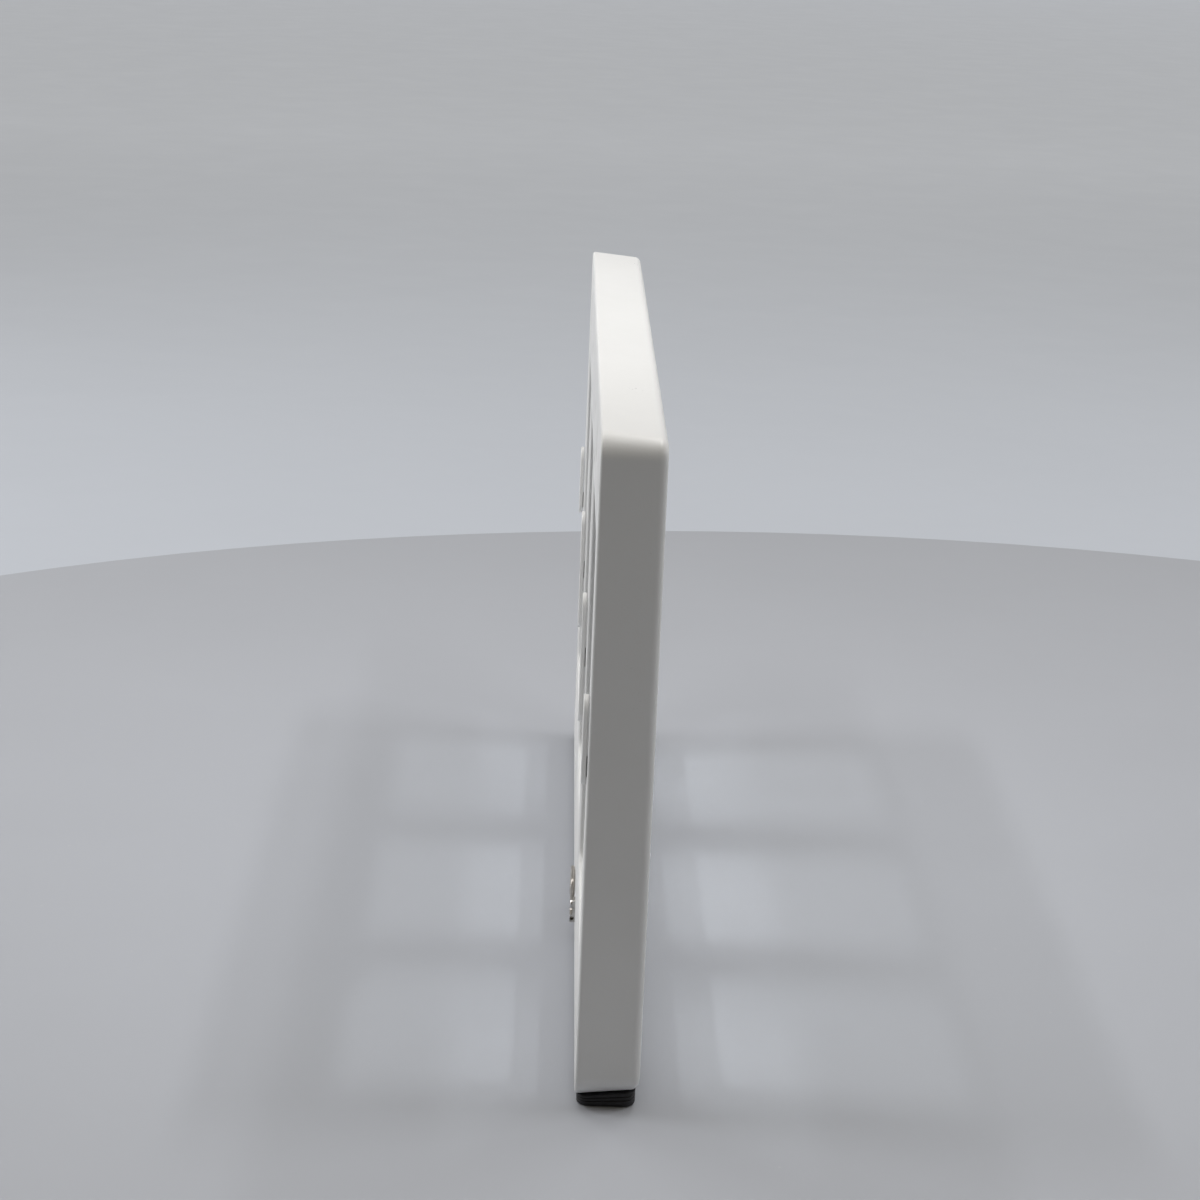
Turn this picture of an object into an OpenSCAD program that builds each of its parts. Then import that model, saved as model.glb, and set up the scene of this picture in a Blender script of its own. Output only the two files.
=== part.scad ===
// Free-standing frame with three see-through openings for 10 x 15 cm prints.
// +X is the width, the front faces -Y, +Z is up, and the feet stand on Z = 0.

/* [Body] */
// Width of the body at its rear edge
body_w = 418; // [410:1:440]
// Height of the body at its rear edge, without the feet
body_h = 230; // [226:1:250]
// Depth of the body from front face to rear face
body_d = 22; // [20:1:26]
// How far each side leans in towards the front
draft = 2; // [1:0.5:3]
// Corner radius of the rear outline
corner_r = 9; // [8:1:12]
// Radius of the soft edge round the front face
edge_r = 3; // [1:0.5:3]
// Wall thickness of the moulding
wall = 2.4; // [2:0.2:3]

/* [Openings] */
// Width of each see-through opening
open_w = 98; // [94:1:100]
// Height of each see-through opening
open_h = 148; // [140:1:150]
// Distance between the centres of neighbouring openings
pitch = 132; // [130:1:134]
// Corner radius of each opening
open_r = 6; // [3:1:8]
// How far the front lip overlaps the pane
lip = 3; // [2:0.5:4]
// Thickness of a clear pane
pane_t = 2; // [1.5:0.5:3]
// Thickness of a pane gasket
gasket_t = 0.8; // [0.6:0.2:1.2]

/* [Rear hardware] */
// Length of a turn button's arm from its pivot
arm_l = 25; // [20:1:28]
// Width of a turn button
button_w = 10; // [8:1:12]
// Thickness of a turn button
button_t = 1.6; // [1.4:0.1:2.2]
// Width of the wire foot between its legs
wire_w = 18; // [16:1:40]
// Length of the wire foot's legs
wire_l = 12; // [11:1:18]
// Centre of the wire foot along the width
wire_x = -36; // [-40:1:40]
// Wire diameter
wire_d = 1.6; // [1.4:0.1:1.8]

/* [Feet] */
// Height of the rubber feet under the rear edge
foot_h = 3.5; // [3:0.5:5]
// Length of a rubber foot along the width
foot_l = 34; // [24:1:50]

/* [Hidden] */
$fn = 64;

proud = button_t + 0.4;                      // hardware standing behind the rear face
y_front = -(body_d + proud) / 2;
y_rear = y_front + body_d;
z_mid = foot_h + body_h / 2;
lip_back = y_front + wall;                   // rear of the front wall, where the pane sits
liner_front = lip_back + pane_t + gasket_t;
fit_gap = 0.3;                               // clearance round panes and liners
pane_w = open_w + 2 * lip;
pane_h = open_h + 2 * lip;
flange = 6;                                  // width of a liner's rear flange
flange_t = 1.6;
cover_front = y_rear - wall;
screw_r = 1.45;
bore_r = 1.5;
head_r = 2.6;
head_t = 1;
boss_r = 3.6;
column_x = [-1.485 * pitch, -pitch / 2, pitch / 2, 1.485 * pitch];
row_z = [z_mid - 95, z_mid, z_mid + 95];
washer_t = 0.3;
button_screw_l = 14;
cover_screw_l = 12;
button_y = y_rear + washer_t + 0.05;
wire_r = wire_d / 2;
wire_y = y_rear + 1.2;
wire_z = foot_h + 5.2;
wire_bend = 2.5;
clip_w = 5.5;
clip_x = wire_w / 2 + wire_bend + 0.8 + clip_w / 2;   // from the wire foot's centre to a clip's
clip_hole_z = wire_z + 5;
clip_hole_r = 1.1;
clip_screw_l = 5;
keyhole_x = pitch;
keyhole_z = row_z[2] - 3;                    // centre of a keyhole's round entry
keyhole_r = 4;
keyhole_slot_r = 2.2;
keyhole_rise = 9;                            // from the entry's centre up to the slot's end
seam_l = 16;                                 // drain slots low in the cover
seam_h = 1.2;
seam_z = foot_h + 5;
foot_x = body_w / 2 - 4 - foot_l / 2;        // centre of a foot

// Rounded rectangle of size w by h, standing in the XZ plane from y = y0 to y1
module upright(w, h, r, y0, y1) {
    translate([0, y1, 0])
        rotate([90, 0, 0])
            linear_extrude(y1 - y0) {
                square([w - 2 * r, h], center = true);
                square([w, h - 2 * r], center = true);
                for (sx = [-1, 1], sz = [-1, 1])
                    translate([sx * (w / 2 - r), sz * (h / 2 - r)]) circle(r);
            }
}

// Rod of radius r along Y
module rod_y(x, z, r, y0, y1) {
    translate([x, y1, z]) rotate([90, 0, 0]) cylinder(r = r, h = y1 - y0);
}

// Drafted block with rounded corners and a soft front edge
module drafted_block(inset, y0, y1, soft) {
    r = corner_r - inset;
    lean = draft * (y1 - y0) / body_d;
    arc = [for (a = [0:18:90]) [r - lean - soft + soft * cos(a), y1 - y0 - soft + soft * sin(a)]];
    hull()
        for (sx = [-1, 1], sz = [-1, 1])
            translate([sx * (body_w / 2 - corner_r), y1, z_mid + sz * (body_h / 2 - corner_r)])
                rotate([90, 0, 0])
                    rotate_extrude($fn = 48)
                        polygon(concat([[0, 0], [r, 0]], arc, [[0, y1 - y0]]));
}

// Places its children at each opening's centre
module at_opening(i) {
    translate([(i - 2) * pitch, 0, z_mid]) children();
}

module front_frame() {
    color("white")
    difference() {
        union() {
            difference() {
                drafted_block(0, y_front, y_rear, edge_r);
                drafted_block(wall, lip_back, y_rear + 1, 0.2);
            }
            for (i = [1:3])
                at_opening(i)
                    upright(pane_w + 2 * (fit_gap + wall), pane_h + 2 * (fit_gap + wall), open_r,
                        lip_back - 0.5, cover_front);
            for (x = column_x, z = row_z)
                rod_y(x, z, boss_r, lip_back - 0.5, cover_front);
        }
        for (i = [1:3])
            at_opening(i) {
                upright(pane_w + 2 * fit_gap, pane_h + 2 * fit_gap, open_r, lip_back, y_rear);
                upright(open_w, open_h, open_r, y_front - 1, y_rear);
            }
        for (x = column_x, z = row_z)
            rod_y(x, z, bore_r, lip_back, y_rear);
        for (sx = [-1, 1])
            translate([sx * foot_x, (y_front + y_rear) / 2, 0]) cylinder(r = 2.1, h = foot_h + 8);
    }
}

// Keyhole cut for a wall screw: a round entry with a narrower slot above it
module keyhole(x) {
    rod_y(x, keyhole_z, keyhole_r, cover_front - 1, y_rear + 1);
    rod_y(x, keyhole_z + keyhole_rise, keyhole_slot_r, cover_front - 1, y_rear + 1);
    translate([x - keyhole_slot_r, cover_front - 1, keyhole_z])
        cube([2 * keyhole_slot_r, wall + 2, keyhole_rise]);
}

module rear_cover() {
    gap = 0.5;
    color("white")
    difference() {
        translate([0, 0, z_mid])
            upright(body_w - 2 * (wall + gap), body_h - 2 * (wall + gap), corner_r - wall, cover_front, y_rear);
        for (i = [1:3])
            at_opening(i) {
                upright(pane_w + 2 * fit_gap, pane_h + 2 * fit_gap, open_r, cover_front - 1, y_rear + 1);
                upright(open_w + 2 * (flange + fit_gap), open_h + 2 * (flange + fit_gap), open_r,
                    y_rear - flange_t, y_rear + 1);
            }
        for (x = column_x, z = row_z)
            rod_y(x, z, bore_r, cover_front - 1, y_rear + 1);
        for (x = column_x, z = [row_z[0], row_z[2]])
            rod_y(x, z, head_r + 0.2, y_rear - head_t - 0.1, y_rear + 1);
        for (sx = [-1, 1])
            translate([sx * pitch / 2, y_rear, seam_z]) cube([seam_l, 2 * wall + 1, seam_h], center = true);
        for (sx = [-1, 1])
            keyhole(sx * keyhole_x);
        for (sx = [-1, 1])
            rod_y(wire_x + sx * clip_x, clip_hole_z, clip_hole_r, cover_front - 1, y_rear + 1);
    }
}

module pane(i) {
    color([0.85, 0.93, 0.95, 0.35])
    at_opening(i) upright(pane_w, pane_h, open_r, lip_back, lip_back + pane_t);
}

module gasket(i) {
    color("gainsboro")
    at_opening(i)
        difference() {
            upright(pane_w, pane_h, open_r, lip_back + pane_t, liner_front);
            upright(open_w, open_h, open_r, lip_back, y_rear);
        }
}

// Ring that lines an opening and presses the pane forwards, with a flange in the cover's rebate
module liner(i) {
    color("whitesmoke")
    at_opening(i)
        difference() {
            union() {
                upright(pane_w, pane_h, open_r, liner_front, y_rear - 0.1);
                upright(open_w + 2 * flange, open_h + 2 * flange, open_r, y_rear - flange_t, y_rear - 0.1);
            }
            upright(open_w, open_h, open_r, y_front, y_rear + 1);
        }
}

// Turn button with its long arm up, and a short tail or a second arm below the pivot
module turn_button(x, tail) {
    color("white")
    difference() {
        translate([x, button_y + button_t, z_mid])
            rotate([90, 0, 0])
                linear_extrude(button_t) {
                    translate([-button_w / 2, button_w / 2 - tail])
                        square([button_w, arm_l + tail - button_w]);
                    translate([0, arm_l - button_w / 2]) circle(button_w / 2);
                    translate([0, button_w / 2 - tail]) circle(button_w / 2);
                }
        rod_y(x, z_mid, bore_r, y_rear, y_rear + 5);
        rod_y(x, z_mid, head_r + 0.05, button_y + button_t - head_t - 0.1, y_rear + 5);
    }
}

module button_washers() {
    color("silver")
    for (x = column_x)
        difference() {
            rod_y(x, z_mid, boss_r, y_rear, y_rear + washer_t);
            rod_y(x, z_mid, bore_r, y_rear - 1, y_rear + 1);
        }
}

// Cross-head screw with its head's top at y1
module screw(x, z, shank, head, length, y1) {
    difference() {
        union() {
            rod_y(x, z, head, y1 - head_t, y1);
            rod_y(x, z, shank, y1 - length, y1 - head_t / 2);
        }
        for (turn = [0, 90])
            translate([x, y1, z]) rotate([0, turn, 0]) cube([head * 1.1, 1, 0.6], center = true);
    }
}

module button_screws() {
    color("silver")
    for (x = column_x)
        screw(x, z_mid, screw_r, head_r, button_screw_l, button_y + button_t);
}

module cover_screws() {
    color("silver")
    for (x = column_x, z = [row_z[0], row_z[2]])
        screw(x, z, screw_r, head_r, cover_screw_l, y_rear);
}

// Bent wire: two pivot ends, two legs and a cross run, folded up flat against the rear
module wire_foot() {
    leg_x = wire_w / 2;
    top_z = wire_z + wire_l;
    color("silver")
    translate([wire_x, 0, 0])
    for (sx = [-1, 1]) {
        translate([sx * (leg_x + wire_bend), wire_y, wire_z])
            rotate([0, sx * 90, 0]) cylinder(r = wire_r, h = clip_w - 1.2);
        translate([sx * (leg_x + wire_bend), wire_y, wire_z + wire_bend])
            rotate([90, 0, 0])
                rotate([0, 0, sx > 0 ? 180 : 270])
                    rotate_extrude(angle = 90) translate([wire_bend, 0]) circle(wire_r);
        translate([sx * leg_x, wire_y, wire_z + wire_bend])
            cylinder(r = wire_r, h = wire_l - 2 * wire_bend);
        translate([sx * (leg_x - wire_bend), wire_y, top_z - wire_bend])
            rotate([90, 0, 0])
                rotate([0, 0, sx > 0 ? 0 : 90])
                    rotate_extrude(angle = 90) translate([wire_bend, 0]) circle(wire_r);
        translate([0, wire_y, top_z])
            rotate([0, sx * 90, 0]) cylinder(r = wire_r, h = leg_x - wire_bend);
    }
}

// Folded strap that holds one pivot end of the wire foot
module wire_clip(sx) {
    color("silver")
    difference() {
        translate([wire_x + sx * clip_x, y_rear + proud / 2, wire_z])
            union() {
                cube([clip_w, proud, 3], center = true);
                translate([0, (1 - proud) / 2, 4]) cube([clip_w, 1, 6], center = true);
            }
        translate([wire_x + sx * (clip_x - clip_w), wire_y, wire_z])
            rotate([0, sx * 90, 0]) cylinder(r = wire_r + 0.05, h = 2 * clip_w);
        rod_y(wire_x + sx * clip_x, clip_hole_z, clip_hole_r, y_rear - 1, y_rear + 5);
    }
}

module clip_screws() {
    color("silver")
    for (sx = [-1, 1])
        screw(wire_x + sx * clip_x, clip_hole_z, clip_hole_r - 0.05, 1.9, clip_screw_l, y_rear + 1 + head_t);
}

// Rubber foot whose top follows the leaning underside, with a stem pushed into the body
module foot(sx) {
    round_r = 4;
    back = y_rear - 0.8;
    front = y_front + 1.2;
    slope = draft / body_d;
    color([0.12, 0.12, 0.13])
    translate([sx * foot_x, 0, 0]) {
        intersection() {
            translate([-foot_l / 2, 0, 0])
                rotate([90, 0, 90])
                    linear_extrude(foot_l)
                        polygon([[front, 0], [back, 0], [back, foot_h + slope * (y_rear - back)],
                            [front, foot_h + slope * (y_rear - front)]]);
            translate([0, (front + back) / 2, 0])
                linear_extrude(foot_h + draft) {
                    square([foot_l - 2 * round_r, back - front], center = true);
                    square([foot_l, back - front - 2 * round_r], center = true);
                    for (cx = [-1, 1], cy = [-1, 1])
                        translate([cx * (foot_l / 2 - round_r), cy * ((back - front) / 2 - round_r)])
                            circle(round_r);
                }
        }
        translate([0, (y_front + y_rear) / 2, foot_h / 2]) cylinder(r = 2, h = foot_h / 2 + 5);
    }
}

front_frame();
rear_cover();
pane(1);  // pane_1
pane(2);  // pane_2
pane(3);  // pane_3
gasket(1);  // gasket_1
gasket(2);  // gasket_2
gasket(3);  // gasket_3
liner(1);  // liner_1
liner(2);  // liner_2
liner(3);  // liner_3
turn_button(column_x[0], button_w / 2 + 1);  // turn_button_1
turn_button(column_x[1], arm_l);  // turn_button_2
turn_button(column_x[2], arm_l);  // turn_button_3
turn_button(column_x[3], button_w / 2 + 1);  // turn_button_4
button_washers();
button_screws();
cover_screws();
wire_foot();
wire_clip(-1);  // wire_clip_left
wire_clip(1);  // wire_clip_right
clip_screws();
foot(-1);  // foot_left
foot(1);  // foot_right
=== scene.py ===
import math

import bmesh
import bpy
from mathutils import Matrix, Vector


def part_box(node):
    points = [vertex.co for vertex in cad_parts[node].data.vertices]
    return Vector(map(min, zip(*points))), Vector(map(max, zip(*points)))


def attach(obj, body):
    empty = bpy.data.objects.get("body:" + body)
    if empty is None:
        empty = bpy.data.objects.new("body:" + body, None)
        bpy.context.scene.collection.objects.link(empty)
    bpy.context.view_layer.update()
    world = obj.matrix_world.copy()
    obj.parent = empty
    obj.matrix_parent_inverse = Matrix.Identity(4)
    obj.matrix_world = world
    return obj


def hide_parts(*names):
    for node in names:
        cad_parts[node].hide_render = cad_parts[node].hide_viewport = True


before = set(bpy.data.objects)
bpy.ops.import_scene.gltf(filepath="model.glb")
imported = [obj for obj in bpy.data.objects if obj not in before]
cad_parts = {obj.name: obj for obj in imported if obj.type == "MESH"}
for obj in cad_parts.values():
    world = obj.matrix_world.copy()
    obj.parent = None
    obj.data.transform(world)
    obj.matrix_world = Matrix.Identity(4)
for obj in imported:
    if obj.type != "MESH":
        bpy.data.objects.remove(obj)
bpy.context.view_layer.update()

MM = 0.001


# ---------------------------------------------------------------- places and sizes, most of them from the frame
def middle(node):
    """Centre of a CAD node's box."""
    low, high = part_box(node)
    return (low + high) / 2


BODY_LOW, BODY_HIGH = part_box("front_frame")
COVER_LOW, COVER_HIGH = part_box("rear_cover")
Y_FRONT, Y_REAR = BODY_LOW.y, BODY_HIGH.y
BODY_W = BODY_HIGH.x - BODY_LOW.x
BODY_H = BODY_HIGH.z - BODY_LOW.z
Z_MID = (BODY_LOW.z + BODY_HIGH.z) / 2
FOOT_H = BODY_LOW.z
DEPTH = Y_REAR - Y_FRONT
COVER_FRONT = COVER_LOW.y
PANE_LOW, PANE_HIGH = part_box("pane_2")
PANE_W, PANE_H = PANE_HIGH.x - PANE_LOW.x, PANE_HIGH.z - PANE_LOW.z
PITCH = middle("pane_3").x - middle("pane_2").x
DRAFT = 2 * MM                        # how far each side leans in towards the front
CORNER_R = 9 * MM
EDGE_R = 3 * MM                       # soft edge round the front face
LIP = 3 * MM                          # how far the front lip overlaps a pane
OPEN_W, OPEN_H = PANE_W - 2 * LIP, PANE_H - 2 * LIP
OPEN_R = 6 * MM
WALL = 2.4 * MM
FIT_GAP = 0.3 * MM                    # clearance round panes and liners
REAR_R = 1.1 * MM                     # soft break along the moulding's rear edge
SCREW_R = 1.45 * MM
HEAD_R = 2.6 * MM
BORE_SLACK = 0.05 * MM                # how much wider a bore is than its screw
OUTER_COLUMN, ROW_PITCH = 1.485 * PITCH, 95 * MM
COLUMNS = [-OUTER_COLUMN, -PITCH / 2, PITCH / 2, OUTER_COLUMN]
ROWS = [Z_MID - ROW_PITCH, Z_MID, Z_MID + ROW_PITCH]


# ---------------------------------------------------------------- camera
def make_camera():
    """Looks along the frame's width from beyond its left end, a little above it and to the rear."""
    beyond_end, behind_rear, above_base = 0.8872, 0.0155, 0.4141
    eye = Vector((BODY_LOW.x - beyond_end, Y_REAR + behind_rear, FOOT_H + above_base))
    yaw, pitch, roll = math.radians(1.114), math.radians(15.03), math.radians(2.357)
    ahead = Vector((math.cos(yaw) * math.cos(pitch), -math.sin(yaw) * math.cos(pitch), -math.sin(pitch)))
    right = Vector((-math.sin(yaw), -math.cos(yaw), 0))
    up = right.cross(ahead)
    turned_right = math.cos(roll) * right + math.sin(roll) * up
    turned_up = -math.sin(roll) * right + math.cos(roll) * up
    data = bpy.data.cameras.new("camera")
    data.sensor_width = 36
    data.lens = 85.6
    data.clip_end = 60
    camera = bpy.data.objects.new("camera", data)
    turn = Matrix((turned_right, turned_up, -ahead)).transposed()
    camera.matrix_world = Matrix.Translation(eye) @ turn.to_4x4()
    bpy.context.scene.collection.objects.link(camera)
    bpy.context.scene.camera = camera


# ---------------------------------------------------------------- materials
class Nodes:
    """Short calls for building one node material."""

    def __init__(self, name):
        self.material = bpy.data.materials.new(name)
        self.material.use_nodes = True
        self.tree = self.material.node_tree
        self.shader = self.tree.nodes["Principled BSDF"]
        self.output = self.tree.nodes["Material Output"]
        self.place = self.add("ShaderNodeTexCoord").outputs["Object"]

    def add(self, kind, **settings):
        node = self.tree.nodes.new(kind)
        for key, value in settings.items():
            setattr(node, key, value)
        return node

    def link(self, source, target):
        self.tree.links.new(source, target)

    def stretched(self, scale):
        """Object coordinates scaled differently along X, Y and Z."""
        mapping = self.add("ShaderNodeMapping")
        mapping.inputs["Scale"].default_value = scale
        self.link(self.place, mapping.inputs["Vector"])
        return mapping.outputs["Vector"]

    def noise(self, scale, detail=3.0, rough=0.5, vector=None):
        node = self.add("ShaderNodeTexNoise")
        node.inputs["Scale"].default_value = scale
        node.inputs["Detail"].default_value = detail
        node.inputs["Roughness"].default_value = rough
        self.link(vector or self.place, node.inputs["Vector"])
        return node.outputs["Fac"]

    def spots(self, scale):
        node = self.add("ShaderNodeTexVoronoi")
        node.inputs["Scale"].default_value = scale
        self.link(self.place, node.inputs["Vector"])
        return node.outputs["Distance"]

    def spread(self, source, low, high, to_low, to_high):
        """Maps a value from low..high to to_low..to_high, clamped."""
        node = self.add("ShaderNodeMapRange")
        for key, value in (("From Min", low), ("From Max", high), ("To Min", to_low), ("To Max", to_high)):
            node.inputs[key].default_value = value
        self.link(source, node.inputs["Value"])
        return node.outputs["Result"]

    def times(self, a, b, operation="MULTIPLY"):
        """Product of two values, or their sum with operation="ADD"."""
        node = self.add("ShaderNodeMath", operation=operation)
        self.link(a, node.inputs[0])
        if isinstance(b, (int, float)):
            node.inputs[1].default_value = b
        else:
            self.link(b, node.inputs[1])
        return node.outputs["Value"]

    def blend(self, factor, first, second):
        """Colour between first and second by factor."""
        node = self.add("ShaderNodeMix", data_type="RGBA")
        self.link(factor, node.inputs["Factor"])
        for socket, colour in ((node.inputs[6], first), (node.inputs[7], second)):
            if isinstance(colour, tuple):
                socket.default_value = (*colour, 1)
            else:
                self.link(colour, socket)
        return node.outputs[2]

    def bump(self, height, distance, strength=1.0):
        node = self.add("ShaderNodeBump")
        node.inputs["Distance"].default_value = distance
        node.inputs["Strength"].default_value = strength
        self.link(height, node.inputs["Height"])
        self.link(node.outputs["Normal"], self.shader.inputs["Normal"])

    def set(self, **values):
        for key, value in values.items():
            self.shader.inputs[key.replace("_", " ")].default_value = value

    def colour(self, source):
        self.link(source, self.shader.inputs["Base Color"])

    def rough(self, source):
        self.link(source, self.shader.inputs["Roughness"])


def moulded_white(name, tint, gloss, grain, depth):
    """White moulded plastic: slow flow marks, faint handling marks, a fine skin and a few dust specks."""
    n = Nodes(name)
    flow = n.noise(9, 3, 0.55, n.stretched((0.6, 1.0, 1.6)))
    smudge = n.noise(60, 4, 0.6)
    fine = n.noise(900, 2, 0.6)
    specks = n.spread(n.spots(210), 0.045, 0.02, 0, 1)
    darker = tuple(c * 0.965 for c in tint)
    base = n.blend(n.spread(flow, 0.35, 0.65, 0, 1), tint, darker)
    base = n.blend(n.times(specks, n.spread(smudge, 0.62, 0.7, 0, 0.35)), base, (0.45, 0.44, 0.42))
    n.colour(base)
    n.rough(n.times(n.spread(smudge, 0.3, 0.7, -0.05, 0.07),
                    n.spread(fine, 0.3, 0.7, gloss - 0.02, gloss + 0.03), "ADD"))
    skin = n.times(n.noise(grain, 2, 0.5), n.times(flow, 0.6), "ADD")
    n.bump(skin, depth, 0.5)
    n.set(IOR=1.49)
    return n.material


def etched_white(name, tint):
    """White plastic with the sparked mould texture of a rear cover; the bottoms of its pits are darkened with painted
    shade.
    """
    n = Nodes(name)
    pit_depth_and_shade = n.spots(1500)
    cloud = n.noise(35, 4, 0.6)
    base = n.blend(n.spread(cloud, 0.35, 0.7, 0, 1), tint, tuple(c * 0.95 for c in tint))
    # painted shade: the colour turns greyer at the bottoms of the pits, where the bump sinks in
    n.colour(n.blend(n.spread(pit_depth_and_shade, 0.0, 0.35, 0.12, 0), base, (0.5, 0.5, 0.5)))
    n.rough(n.spread(n.noise(700, 3, 0.6), 0.3, 0.7, 0.48, 0.62))
    n.bump(n.times(pit_depth_and_shade, n.noise(1800, 2, 0.5), "ADD"), 0.00012, 0.45)
    n.set(IOR=1.49)
    return n.material


def clear_sheet():
    """Clear acrylic that lamps shine through, with faint wiping marks in its gloss."""
    n = Nodes("clear_pane")
    n.set(Base_Color=(0.965, 0.985, 0.99, 1), Transmission_Weight=1.0, IOR=1.49)
    wipes = n.noise(40, 4, 0.65, n.stretched((1.0, 1.0, 0.25)))
    n.rough(n.spread(wipes, 0.45, 0.75, 0.01, 0.05))
    path = n.add("ShaderNodeLightPath")
    through = n.add("ShaderNodeBsdfTransparent")
    through.inputs["Color"].default_value = (0.95, 0.965, 0.965, 1)
    mix = n.add("ShaderNodeMixShader")
    n.link(path.outputs["Is Shadow Ray"], mix.inputs[0])
    n.link(n.shader.outputs[0], mix.inputs[1])
    n.link(through.outputs[0], mix.inputs[2])
    n.link(mix.outputs[0], n.output.inputs["Surface"])
    return n.material


def soft_rubber(name, tint, dusty, rough):
    """Matt rubber with a fine sandy skin and pale dust caught in it."""
    n = Nodes(name)
    cloud = n.noise(55, 4, 0.6)
    n.colour(n.blend(n.spread(cloud, 0.5, 0.8, 0, 0.6), tint, dusty))
    n.rough(n.spread(n.noise(600, 3, 0.6), 0.3, 0.7, rough - 0.06, rough + 0.08))
    n.bump(n.noise(2400, 3, 0.6), 0.0001, 0.4)
    return n.material


def plated_steel(name, tint, rough, along):
    """Zinc plated or drawn steel: fine draw lines along one way and dull cloudy patches."""
    n = Nodes(name)
    lines = n.noise(260, 3, 0.6, n.stretched(along))
    patches = n.noise(300, 3, 0.6)
    n.colour(n.blend(n.spread(patches, 0.35, 0.7, 0, 1), tint, tuple(c * 0.72 for c in tint)))
    n.rough(n.times(n.spread(lines, 0.3, 0.7, -0.05, 0.07),
                    n.spread(patches, 0.3, 0.7, rough, rough + 0.12), "ADD"))
    n.bump(lines, 0.00003, 0.5)
    n.set(Metallic=1.0)
    return n.material


WHITE = moulded_white("frame_white", (0.84, 0.84, 0.835), 0.33, 1400, 0.00005)
COVER = etched_white("cover_white", (0.80, 0.80, 0.795))
LINER = moulded_white("liner_white", (0.83, 0.83, 0.825), 0.38, 1700, 0.00006)
BUTTON = moulded_white("button_white", (0.85, 0.85, 0.845), 0.30, 2000, 0.00003)
PANE = clear_sheet()
GASKET = soft_rubber("gasket_grey", (0.48, 0.49, 0.5), (0.56, 0.56, 0.56), 0.6)
BLACK = soft_rubber("foot_black", (0.017, 0.017, 0.020), (0.040, 0.040, 0.043), 0.62)
STEEL = plated_steel("steel", (0.62, 0.61, 0.6), 0.25, (1, 1, 12))
PRESSED = plated_steel("hanger_steel", (0.66, 0.655, 0.63), 0.30, (12, 1, 1))
WIRE = plated_steel("wire_steel", (0.60, 0.565, 0.52), 0.28, (1, 1, 1))


# ---------------------------------------------------------------- mesh helpers
def rounded(width, height, radius, steps=10, cx=0.0, cz=0.0):
    """Points round a rounded rectangle, anticlockwise from the right side's lower end."""
    points = []
    for k, (sx, sz) in enumerate(((1, 1), (-1, 1), (-1, -1), (1, -1))):
        for s in range(steps + 1):
            a = math.radians(90 * (k + s / steps))
            points.append((cx + sx * (width / 2 - radius) + radius * math.cos(a),
                           cz + sz * (height / 2 - radius) + radius * math.sin(a)))
    return points


def ring(bm, points, y):
    """Loop of vertices in a plane of constant Y."""
    return [bm.verts.new((x, y, z)) for x, z in points]


def bridge(bm, first, second):
    """Quads between two rings with the same number of points."""
    count = len(first)
    for i in range(count):
        j = (i + 1) % count
        bm.faces.new((first[i], first[j], second[j], second[i]))


def fill_between(bm, loops):
    """Flat face with holes between closed loops."""
    edges = []
    for loop in loops:
        for pair in zip(loop, loop[1:] + loop[:1]):
            edges.append(bm.edges.get(pair) or bm.edges.new(pair))
    bmesh.ops.triangle_fill(bm, use_beauty=True, edges=edges)


def loft(bm, rings):
    """Joins a list of rings one after another."""
    for a, b in zip(rings, rings[1:]):
        bridge(bm, a, b)


def finished(name, bm, material, body, *nodes, smooth=30):
    """Turns a bmesh into a piece that stands for CAD nodes and rides on a body."""
    bmesh.ops.recalc_face_normals(bm, faces=bm.faces)
    mesh = bpy.data.meshes.new(name)
    bm.to_mesh(mesh)
    bm.free()
    mesh.materials.append(material)
    piece = bpy.data.objects.new(name, mesh)
    bpy.context.scene.collection.objects.link(piece)
    for polygon in mesh.polygons:
        polygon.use_smooth = True
    mesh.set_sharp_from_angle(angle=math.radians(smooth))
    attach(piece, body)
    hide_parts(*nodes)


def plate(bm, outline, y0, y1, edge, wells=(), steps=4):
    """Plate from y0 to y1 with rounded outer edges. A well is its levels, a list of (points, y), and whether it
    is blind: a hole's levels run from y0 to y1, and a blind well's run from y1 inwards to its floor."""
    turn = [math.radians(90 * s / steps) for s in range(steps + 1)]
    profile = [(edge * (1 - math.sin(a)), y0 + edge * (1 - math.cos(a))) for a in turn]
    profile += [(inset, y0 + y1 - y) for inset, y in reversed(profile)]
    rings = [ring(bm, outline(inset), y) for inset, y in profile]
    loft(bm, rings)
    near, far = [rings[0]], [rings[-1]]
    for levels, blind in wells:
        rings = [ring(bm, points, y) for points, y in levels]
        loft(bm, rings)
        if blind:
            far.append(rings[0])
            bm.faces.new(rings[-1])
        else:
            near.append(rings[0])
            far.append(rings[-1])
    fill_between(bm, near)
    fill_between(bm, far)


def through(shape, y0, y1, edge, steps=3):
    """Levels of a straight hole whose two rims are rounded by edge."""
    turn = [math.radians(90 * s / steps) for s in range(steps + 1)]
    levels = [(shape(-edge * (1 - math.sin(a))), y0 + edge * (1 - math.cos(a))) for a in turn]
    return levels + [(shape(-edge * (1 - math.sin(a))), y1 - edge * (1 - math.cos(a))) for a in reversed(turn)]


def rim(shape, y1, edge, steps=3):
    """Levels of a rounded rim at y1, from the face inwards."""
    turn = [math.radians(90 * s / steps) for s in range(steps + 1)]
    return [(shape(-edge * (1 - math.sin(a))), y1 - edge * (1 - math.cos(a))) for a in turn]


def box_outline(width, height, radius, cx=0.0, cz=0.0, steps=8):
    """Outline function for plate: a rounded rectangle that shrinks with its inset."""
    def shape(inset):
        return rounded(width - 2 * inset, height - 2 * inset, max(radius - inset, 0.00005), steps, cx, cz)
    return shape


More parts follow.
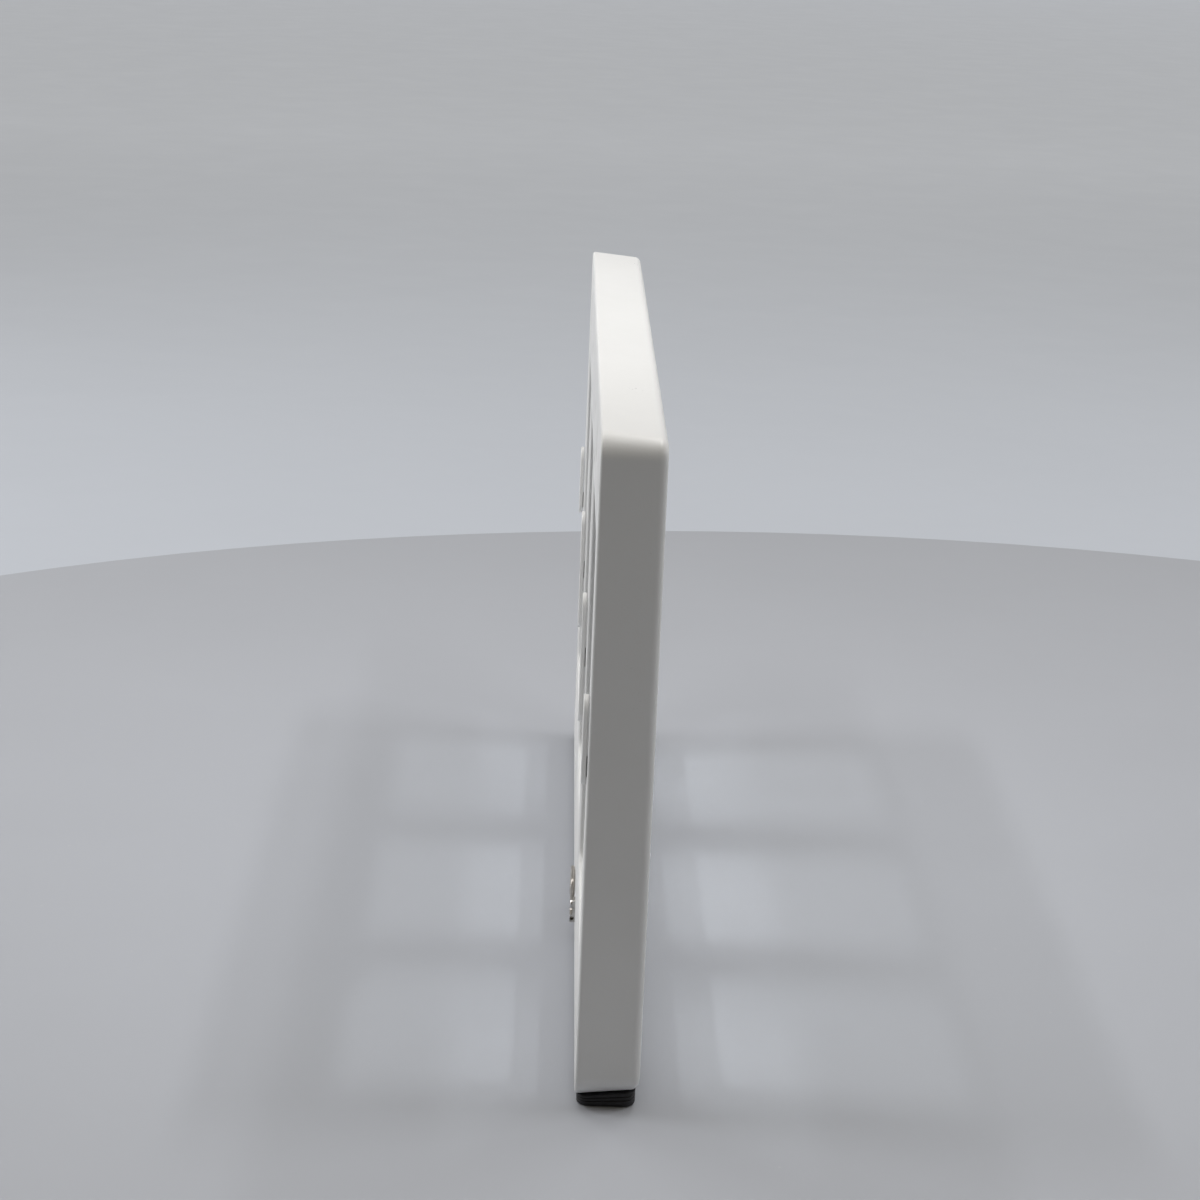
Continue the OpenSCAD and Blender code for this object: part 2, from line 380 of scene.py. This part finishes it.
def circle_outline(radius, cx=0.0, cz=0.0, count=40):
    """Outline function for plate: a circle that shrinks with its inset."""
    def shape(inset):
        return [(cx + (radius - inset) * math.cos(math.tau * k / count),
                 cz + (radius - inset) * math.sin(math.tau * k / count)) for k in range(count)]
    return shape


# ---------------------------------------------------------------- the moulded front frame
def body_ring(bm, inset, y):
    """Ring of the body's drafted outline at depth y, moved in by inset."""
    lean = DRAFT * (Y_REAR - y) / DEPTH + inset
    corner = max(CORNER_R - lean, 0.4 * MM)
    return ring(bm, rounded(BODY_W - 2 * lean, BODY_H - 2 * lean, corner, 14, 0, Z_MID), y)


def make_front_frame():
    """Drafted shell, open at the rear, with an opening, a pocket for the pane and a wall round it in three places."""
    bm = bmesh.new()
    lip_back = PANE_LOW.y
    sweep = [(REAR_R, Y_REAR)]
    sweep += [(REAR_R * (1 - math.sin(math.radians(a))), Y_REAR - REAR_R * (1 - math.cos(math.radians(a))))
              for a in (15, 30, 45, 60, 75, 90)]
    steps = 8
    for s in range(steps + 1):
        a = math.radians(90 * s / steps)
        sweep.append((EDGE_R * (1 - math.cos(a)), Y_FRONT + EDGE_R * (1 - math.sin(a))))
    outer = [body_ring(bm, inset, y) for inset, y in sweep]
    loft(bm, outer)
    inner = [body_ring(bm, WALL, y) for y in (lip_back, Y_REAR)]
    loft(bm, inner)
    bridge(bm, inner[1], outer[0])
    front, back = [outer[-1]], [inner[0]]
    for i in (-1, 0, 1):
        opening = [ring(bm, rounded(OPEN_W + 2 * g, OPEN_H + 2 * g, OPEN_R + g, 10, i * PITCH, Z_MID), y)
                   for g, y in window_edge(lip_back)]
        pocket = PANE_W + 2 * FIT_GAP, PANE_H + 2 * FIT_GAP
        wide = pocket[0] + 2 * WALL, pocket[1] + 2 * WALL
        pocket_rings = [ring(bm, rounded(*pocket, OPEN_R, 10, i * PITCH, Z_MID), y)
                        for y in (lip_back, COVER_FRONT)]
        tunnel = [ring(bm, rounded(*wide, OPEN_R, 10, i * PITCH, Z_MID), y) for y in (COVER_FRONT, lip_back)]
        loft(bm, opening + pocket_rings + tunnel)
        front.append(opening[0])
        back.append(tunnel[-1])
    fill_between(bm, front)
    fill_between(bm, back)
    finished("front_frame_moulding", bm, WHITE, "frame_body", "front_frame")


def window_edge(lip_back, radius=0.9 * MM, steps=5):
    """Rounding where an opening meets the front face, then straight back through the lip."""
    pairs = []
    for s in range(steps + 1):
        a = math.radians(90 * s / steps)
        pairs.append((radius * (1 - math.sin(a)), Y_FRONT + radius * (1 - math.cos(a))))
    return pairs + [(0, lip_back)]


# ---------------------------------------------------------------- rear cover and what lies in the openings
FLANGE_LOW, FLANGE_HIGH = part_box("liner_2")
FLANGE_W, FLANGE_H = FLANGE_HIGH.x - FLANGE_LOW.x, FLANGE_HIGH.z - FLANGE_LOW.z
FLANGE_T = 1.6 * MM
KEYHOLE_Z = ROWS[2] - 3 * MM
SLOT_W, SLOT_H, SLOT_Z = 16 * MM, 1.2 * MM, FOOT_H + 5 * MM
SINK_DEPTH = 1.1 * MM                 # of the wells that screw heads lie in


def keyhole_outline(x, entry_r=4 * MM, slot_r=2.2 * MM, rise=9 * MM, steps=14):
    """Round entry with a narrower round-ended slot above it."""
    def shape(inset):
        big, small = entry_r - inset, slot_r - inset
        join = math.acos(min(1, small / big))
        points = []
        for s in range(2 * steps + 1):
            a = math.pi - join + (math.pi + 2 * join) * s / (2 * steps)
            points.append((x + big * math.cos(a), KEYHOLE_Z + big * math.sin(a)))
        for s in range(steps + 1):
            a = math.pi * s / steps
            points.append((x + small * math.cos(a), KEYHOLE_Z + rise + small * math.sin(a)))
        return points
    return shape


def make_rear_cover():
    """Flat cover with rebates for the liners, screw wells, keyholes and two drain slots."""
    bm = bmesh.new()
    width, height = COVER_HIGH.x - COVER_LOW.x, COVER_HIGH.z - COVER_LOW.z
    rebate_y = Y_REAR - FLANGE_T
    wells = []
    for i in (-1, 0, 1):
        wide = box_outline(FLANGE_W + 2 * FIT_GAP, FLANGE_H + 2 * FIT_GAP, OPEN_R, i * PITCH, Z_MID)
        tight = box_outline(PANE_W + 2 * FIT_GAP, PANE_H + 2 * FIT_GAP, OPEN_R, i * PITCH, Z_MID)
        levels = [(tight(0), COVER_FRONT), (tight(0), rebate_y), (wide(0), rebate_y)]
        wells.append((levels + rim(wide, Y_REAR, 0.3 * MM)[::-1], False))
    for x in COLUMNS:
        for z in ROWS:
            bore = circle_outline(SCREW_R + BORE_SLACK, x, z, 28)
            if z == Z_MID:
                wells.append((through(bore, COVER_FRONT, Y_REAR, 0.1 * MM), False))
                continue
            sink = circle_outline(HEAD_R + 0.2 * MM, x, z, 28)
            floor = Y_REAR - SINK_DEPTH
            levels = [(bore(0), COVER_FRONT), (bore(0), floor), (sink(0), floor)]
            wells.append((levels + rim(sink, Y_REAR, 0.15 * MM)[::-1], False))
    for side in (-1, 1):
        wells.append((through(keyhole_outline(side * PITCH), COVER_FRONT, Y_REAR, 0.25 * MM), False))
        slot = box_outline(SLOT_W, SLOT_H, 0.55 * MM, side * PITCH / 2, SLOT_Z)
        wells.append((through(slot, COVER_FRONT, Y_REAR, 0.08 * MM), False))
    plate(bm, box_outline(width, height, CORNER_R - WALL, 0, Z_MID), COVER_FRONT, Y_REAR, 0.3 * MM, wells)
    finished("rear_cover_plate", bm, COVER, "frame_body", "rear_cover")


def make_pane(i, node):
    bm = bmesh.new()
    plate(bm, box_outline(PANE_W, PANE_H, OPEN_R, i * PITCH, Z_MID), PANE_LOW.y, PANE_HIGH.y, 0.2 * MM)
    finished(node + "_sheet", bm, PANE, "frame_body", node)


def make_gasket(i, node):
    low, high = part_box(node)
    bm = bmesh.new()
    inner = box_outline(OPEN_W, OPEN_H, OPEN_R, i * PITCH, Z_MID)
    plate(bm, box_outline(PANE_W, PANE_H, OPEN_R, i * PITCH, Z_MID), low.y, high.y, 0.2 * MM,
          [(through(inner, low.y, high.y, 0.2 * MM), False)])
    finished(node + "_ring", bm, GASKET, "frame_body", node)


def make_liner(i, node):
    """Ring that lines an opening, with its flange, a rounded inner rim and a shallow bead groove."""
    low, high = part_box(node)
    step_y = Y_REAR - FLANGE_T
    body = box_outline(PANE_W, PANE_H, OPEN_R, i * PITCH, Z_MID)
    wide = box_outline(FLANGE_W, FLANGE_H, OPEN_R, i * PITCH, Z_MID)
    inner = box_outline(OPEN_W, OPEN_H, OPEN_R, i * PITCH, Z_MID)
    levels = [(inner(-0.3 * MM), low.y), (body(0.4 * MM), low.y), (body(0), low.y + 0.4 * MM),
              (body(0), step_y), (wide(0.1 * MM), step_y), (wide(0), step_y + 0.1 * MM)]
    levels += rim(lambda inset: wide(-inset), high.y, 0.35 * MM)[::-1]
    levels += rim(inner, high.y, 0.9 * MM, 6)
    levels += [(inner(0), low.y + 3.2 * MM), (inner(-0.35 * MM), low.y + 2.9 * MM),
               (inner(-0.35 * MM), low.y + 2.3 * MM), (inner(0), low.y + 2.0 * MM), (inner(0), low.y + 0.3 * MM)]
    bm = bmesh.new()
    rings = [ring(bm, points, y) for points, y in levels]
    loft(bm, rings)
    bridge(bm, rings[-1], rings[0])
    finished(node + "_ring", bm, LINER, "frame_body", node)


# ---------------------------------------------------------------- turn buttons
def make_turn_button(node, x):
    """Flat round-ended button with a screw sink and three grip grooves across its arm."""
    low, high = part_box(node)
    width, height = high.x - low.x, high.z - low.z
    centre = (low.z + high.z) / 2
    bore = circle_outline(SCREW_R + BORE_SLACK, x, Z_MID, 28)
    sink = circle_outline(HEAD_R + 0.05 * MM, x, Z_MID, 28)
    floor = high.y - SINK_DEPTH
    wells = [([(bore(0), low.y), (bore(0), floor), (sink(0), floor)] + rim(sink, high.y, 0.12 * MM)[::-1], False)]
    ends = (1,) if height < 40 * MM else (-1, 1)          # the short ones have one arm
    for end in ends:
        for k in range(3):
            z = Z_MID + end * (high.z - Z_MID - 5 * MM - k * 2.4 * MM)
            groove = box_outline(6 * MM, 1.1 * MM, 0.5 * MM, x, z, 6)
            wells.append((rim(groove, high.y, 0.15 * MM) + [(groove(0), high.y - 0.45 * MM)], True))
    bm = bmesh.new()
    plate(bm, box_outline(width, height, width / 2 - 0.01 * MM, x, centre, 14), low.y, high.y, 0.4 * MM, wells)
    finished(node + "_lever", bm, BUTTON, node, node)


# ---------------------------------------------------------------- screws and washers
HEAD_T = 1 * MM
THREAD_PITCH = 0.9 * MM
BUTTON_SCREW_L, COVER_SCREW_L, CLIP_SCREW_L = 14 * MM, 12 * MM, 5 * MM
CLIP_SCREW_R, CLIP_HEAD_R = 1.05 * MM, 1.9 * MM
CLIP_SCREW_RISE = 5 * MM              # of the clip screws above the wire foot's pivot
WASHER_R = 3.6 * MM


def lathe(bm, profile, x, z, count=36):
    """Turned shape round a line along Y through x, z: profile is (radius, y) from end to end."""
    rings = [ring(bm, circle_outline(r, x, z, count)(0), y) for r, y in profile]
    loft(bm, rings)
    bm.faces.new(rings[0])
    bm.faces.new(rings[-1])


def cross_outline(x, z, reach, half):
    """Outline of a cross recess."""
    def shape(inset):
        r, h = reach - inset, half - inset / 2
        corners = [(r, -h), (r, h), (h, h), (h, r), (-h, r), (-h, h),
                   (-r, h), (-r, -h), (-h, -h), (-h, -r), (h, -r), (h, -h)]
        return [(x + cx, z + cz) for cx, cz in corners]
    return shape


def add_screw(bm, x, z, shank, head, length, y1):
    """Pan head with a cross recess that narrows as it deepens, and a threaded shank with a point."""
    cross = cross_outline(x, z, head * 0.56, 0.32 * MM)
    round_rim = circle_outline(head, x, z, 36)
    levels = [(round_rim(inset), y1 - drop) for inset, drop in
              ((0.0, HEAD_T), (0.0, 0.45 * MM), (0.06 * MM, 0.25 * MM), (0.22 * MM, 0.1 * MM), (0.5 * MM, 0.02 * MM))]
    rings = [ring(bm, points, y) for points, y in levels]
    loft(bm, rings)
    bm.faces.new(rings[0])
    recess = [ring(bm, cross(inset), y1 - drop)
              for inset, drop in ((0.0, 0.02 * MM), (0.12 * MM, 0.35 * MM), (0.4 * MM, 0.75 * MM))]
    loft(bm, recess)
    bm.faces.new(recess[-1])
    fill_between(bm, [rings[-1], recess[0]])
    turns = int((length - HEAD_T - 1.5 * MM) / THREAD_PITCH)
    profile = [(shank, y1 - HEAD_T)]
    for k in range(turns):
        y = y1 - HEAD_T - 0.6 * MM - k * THREAD_PITCH
        profile += [(shank * 0.72, y), (shank, y - THREAD_PITCH / 2)]
    profile += [(shank * 0.7, profile[-1][1] - THREAD_PITCH / 2), (0.1 * MM, y1 - length)]
    lathe(bm, profile, x, z, 20)


def make_screws(node, places, shank, head, length):
    """All the screws of one CAD node; their heads' tops are at the node's rear."""
    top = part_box(node)[1].y
    bm = bmesh.new()
    for x, z in places:
        add_screw(bm, x, z, shank, head, length, top)
    finished(node + "_set", bm, STEEL, "frame_body", node)


def make_washers():
    low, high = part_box("button_washers")
    bm = bmesh.new()
    for x in COLUMNS:
        plate(bm, circle_outline(WASHER_R, x, Z_MID), low.y, high.y, 0.08 * MM,
              [(through(circle_outline(SCREW_R + BORE_SLACK, x, Z_MID), low.y, high.y, 0.05 * MM), False)])
    finished("button_washers_set", bm, STEEL, "frame_body", "button_washers")


# ---------------------------------------------------------------- wire foot
WIRE_LOW, WIRE_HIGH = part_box("wire_foot")
WIRE_R = (WIRE_HIGH.y - WIRE_LOW.y) / 2
WIRE_X = (WIRE_LOW.x + WIRE_HIGH.x) / 2
WIRE_Y = (WIRE_LOW.y + WIRE_HIGH.y) / 2
WIRE_Z = WIRE_LOW.z + WIRE_R
WIRE_BEND = 2.5 * MM
PIVOT_END = 4.3 * MM
LEG_X = (WIRE_HIGH.x - WIRE_LOW.x) / 2 - WIRE_BEND - PIVOT_END


def make_wire_foot(sides=20, steps=9):
    """One bent wire: pivot end, bend, leg, bend, cross run, bend, leg, bend, pivot end."""
    top = WIRE_HIGH.z - WIRE_R
    path = [(WIRE_LOW.x, WIRE_Z, 1, 0)]
    for s in range(steps + 1):
        a = math.radians(90 * s / steps)
        path.append((WIRE_X - LEG_X - WIRE_BEND * (1 - math.sin(a)), WIRE_Z + WIRE_BEND * (1 - math.cos(a)),
                     math.cos(a), math.sin(a)))
    for s in range(steps + 1):
        a = math.radians(90 * s / steps)
        path.append((WIRE_X - LEG_X + WIRE_BEND * (1 - math.cos(a)), top - WIRE_BEND * (1 - math.sin(a)),
                     math.sin(a), math.cos(a)))
    path += [(2 * WIRE_X - x, z, dx, -dz) for x, z, dx, dz in reversed(path)]
    around = circle_outline(WIRE_R, count=sides)(0)
    bm = bmesh.new()
    rings = [[bm.verts.new((x - dz * c, WIRE_Y + s, z + dx * c)) for c, s in around] for x, z, dx, dz in path]
    loft(bm, rings)
    for loop in (rings[0], rings[-1]):
        face = bm.faces.new(loop)
        bmesh.ops.bevel(bm, geom=list(face.edges), offset=0.25 * MM, segments=3, profile=0.5, affect="EDGES")
    finished("wire_foot_bail", bm, WIRE, "wire_foot", "wire_foot", smooth=50)


def bevelled(node, material, width, segments=2):
    """A CAD node that stays, with its material and small rounded edges."""
    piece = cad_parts[node]
    piece.data.materials.clear()
    piece.data.materials.append(material)
    edge = piece.modifiers.new("edges", "BEVEL")
    edge.width = width
    edge.segments = segments
    edge.limit_method = "ANGLE"
    edge.angle_limit = math.radians(40)
    edge.harden_normals = True


# ---------------------------------------------------------------- rubber feet
def make_foot(node):
    """Rounded pad under the leaning underside, with a chamfered tread, two side grooves and a push-in stem."""
    low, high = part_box(node)
    cx, cy = (low.x + high.x) / 2, (low.y + high.y) / 2
    length, depth = high.x - low.x, high.y - low.y
    slope = DRAFT / DEPTH
    corner = 4 * MM

    def level(inset, rise):
        """Ring whose height follows the underside in proportion: rise 0 is the tread and 1 the top."""
        points = rounded(length - 2 * inset, depth - 2 * inset, corner - inset, 12, cx, cy)
        return [bm.verts.new((x, y, rise * (FOOT_H + slope * (Y_REAR - y)))) for x, y in points]

    bm = bmesh.new()
    profile = [(0.9, 0.0), (0.45, 0.04), (0.15, 0.12), (0.0, 0.22), (0.0, 0.44), (0.35, 0.5), (0.0, 0.56),
               (0.0, 0.7), (0.35, 0.76), (0.0, 0.82), (0.0, 0.97), (0.12, 1.0)]
    rings = [level(inset * MM, rise) for inset, rise in profile]
    loft(bm, rings)
    bm.faces.new(rings[0])
    bmesh.ops.triangulate(bm, faces=[bm.faces.new(rings[-1])])
    stem_r, stem_y = 2 * MM, (Y_FRONT + Y_REAR) / 2
    stem = [[bm.verts.new((x, y, z)) for x, y in circle_outline(r, cx, stem_y, 24)(0)]
            for r, z in ((stem_r, FOOT_H), (stem_r, high.z - 0.6 * MM), (stem_r - 0.5 * MM, high.z))]
    loft(bm, stem)
    bm.faces.new(stem[0])
    bm.faces.new(stem[-1])
    finished(node + "_pad", bm, BLACK, "frame_body", node)


# ---------------------------------------------------------------- floor, backdrop and lights
def stage_material(name, tone, glow):
    """Matt pale grey paper. Its glow, stronger towards +X, stands for lamps that only light the backdrop."""
    n = Nodes(name)
    cloud = n.noise(3.5, 4, 0.55)
    specks = n.spread(n.spots(42), 0.03, 0.012, 0, 1)
    base = n.blend(n.spread(cloud, 0.35, 0.65, 0, 1), tone, tuple(c * 1.02 for c in tone))
    n.colour(n.blend(n.times(specks, 0.35), base, (0.6, 0.6, 0.6)))
    n.rough(n.spread(n.noise(12, 3, 0.6), 0.3, 0.7, 0.55, 0.65))
    n.bump(n.noise(900, 3, 0.6), 0.0001, 0.3)
    n.set(Emission_Color=(0.92, 0.95, 1.0, 1))
    if glow:
        along = n.add("ShaderNodeSeparateXYZ")
        n.link(n.place, along.inputs["Vector"])
        n.link(n.spread(along.outputs["X"], -1, 3, 0.25 * glow, glow), n.shader.inputs["Emission Strength"])
    return n.material


def make_stage():
    """Round table top, the paper round and below it, and the sweep that rises into a far wall."""
    table_r, bend_at, bend_r, wall_h, drop, count = 0.77, 10.0, 1.0, 4.0, 0.012, 128
    bend = [(bend_at + bend_r * math.sin(math.radians(a)), bend_r * (1 - math.cos(math.radians(a))) - drop)
            for a in range(0, 91, 10)]
    table_tone, paper_tone, paper_glow = (0.445, 0.463, 0.508), (0.37, 0.395, 0.445), 0.35
    shapes = (
        ("table_top", (-0.13, -0.15), table_tone, 0.0,
         [(0.0, 0.0), (0.35, 0.0), (table_r - 0.003, 0.0), (table_r, -0.002), (table_r, -drop)]),
        ("surround", (0, 0), paper_tone, paper_glow, [(0.0, -drop), (2.0, -drop), (bend_at, -drop)]),
        ("far_wall", (0, 0), paper_tone, paper_glow, bend + [(bend_at + bend_r, wall_h)]),
    )
    for name, (cx, cy), tone, glow, profile in shapes:
        bm = bmesh.new()
        rings = [[bm.verts.new((x, y, z)) for x, y in circle_outline(max(r, 1 * MM), cx, cy, count)(0)]
                 for r, z in profile]
        loft(bm, rings)
        if profile[0][0] == 0:
            bm.faces.new(rings[0])
        bmesh.ops.recalc_face_normals(bm, faces=bm.faces)
        mesh = bpy.data.meshes.new(name)
        bm.to_mesh(mesh)
        bm.free()
        mesh.materials.append(stage_material("studio_" + name, tone, glow))
        for polygon in mesh.polygons:
            polygon.use_smooth = name == "far_wall"
        stage = bpy.data.objects.new(name, mesh)
        bpy.context.scene.collection.objects.link(stage)


def make_lights():
    """Wide soft lamps overhead and at both sides, and four short tubes whose shadows of the openings fall either
    side of the frame: the low ones throw them far out, and the high ones near it."""
    def lamp(name, place, aim, power, size, size_y):
        data = bpy.data.lights.new(name, "AREA")
        data.energy = power
        data.shape = "RECTANGLE"
        data.size, data.size_y = size, size_y
        light = bpy.data.objects.new(name, data)
        light.location = place
        light.rotation_mode = "QUATERNION"
        light.rotation_quaternion = (Vector(aim) - Vector(place)).to_track_quat("-Z", "Y")
        light.visible_camera = False
        light.visible_transmission = False
        bpy.context.scene.collection.objects.link(light)

    lamp("overhead", (0.45, 0, 1.5), (0.45, 0, 0), 10.8, 1.8, 1.8)
    for name, lateral, height, power in (("rear_side", 1.3, 0.45, 7.0), ("front_side", -1.3, 0.8, 4.0)):
        lamp(name, (0.5, lateral, height), (0.1, 0, 0.1), power, 1.2, 0.8)
    for name, lateral, height, power, size, size_y in (
            ("rear_low", 1.20, 1.84, 6.6, 0.45, 0.08), ("front_low", -0.90, 1.84, 4.6, 0.45, 0.08),
            ("rear_high", 0.17, 0.57, 0.34, 0.2, 0.02), ("front_high", -0.143, 0.57, 0.34, 0.2, 0.02)):
        lamp(f"tube_{name}", (0.01, lateral, height), (0, 0, 0), power, size, size_y)
    world = bpy.data.worlds.new("studio")
    world.use_nodes = True
    world.node_tree.nodes["Background"].inputs[0].default_value = (1.0, 0.87, 0.62, 1)
    world.node_tree.nodes["Background"].inputs[1].default_value = 0.15
    bpy.context.scene.world = world
    bpy.context.scene.view_settings.view_transform = "Standard"


# ---------------------------------------------------------------- build
make_camera()
make_front_frame()
make_rear_cover()
for number in (1, 2, 3):
    make_pane(number - 2, f"pane_{number}")
    make_gasket(number - 2, f"gasket_{number}")
    make_liner(number - 2, f"liner_{number}")
for number, column in enumerate(COLUMNS, 1):
    make_turn_button(f"turn_button_{number}", column)
make_washers()
make_screws("button_screws", [(x, Z_MID) for x in COLUMNS], SCREW_R, HEAD_R, BUTTON_SCREW_L)
make_screws("cover_screws", [(x, z) for x in COLUMNS for z in (ROWS[0], ROWS[2])],
            SCREW_R, HEAD_R, COVER_SCREW_L)
make_screws("clip_screws", [(middle(f"wire_clip_{side}").x, WIRE_Z + CLIP_SCREW_RISE) for side in ("left", "right")],
            CLIP_SCREW_R, CLIP_HEAD_R, CLIP_SCREW_L)
make_wire_foot()
for side in ("left", "right"):
    bevelled(f"wire_clip_{side}", PRESSED, 0.12 * MM)
    make_foot(f"foot_{side}")
make_stage()
make_lights()
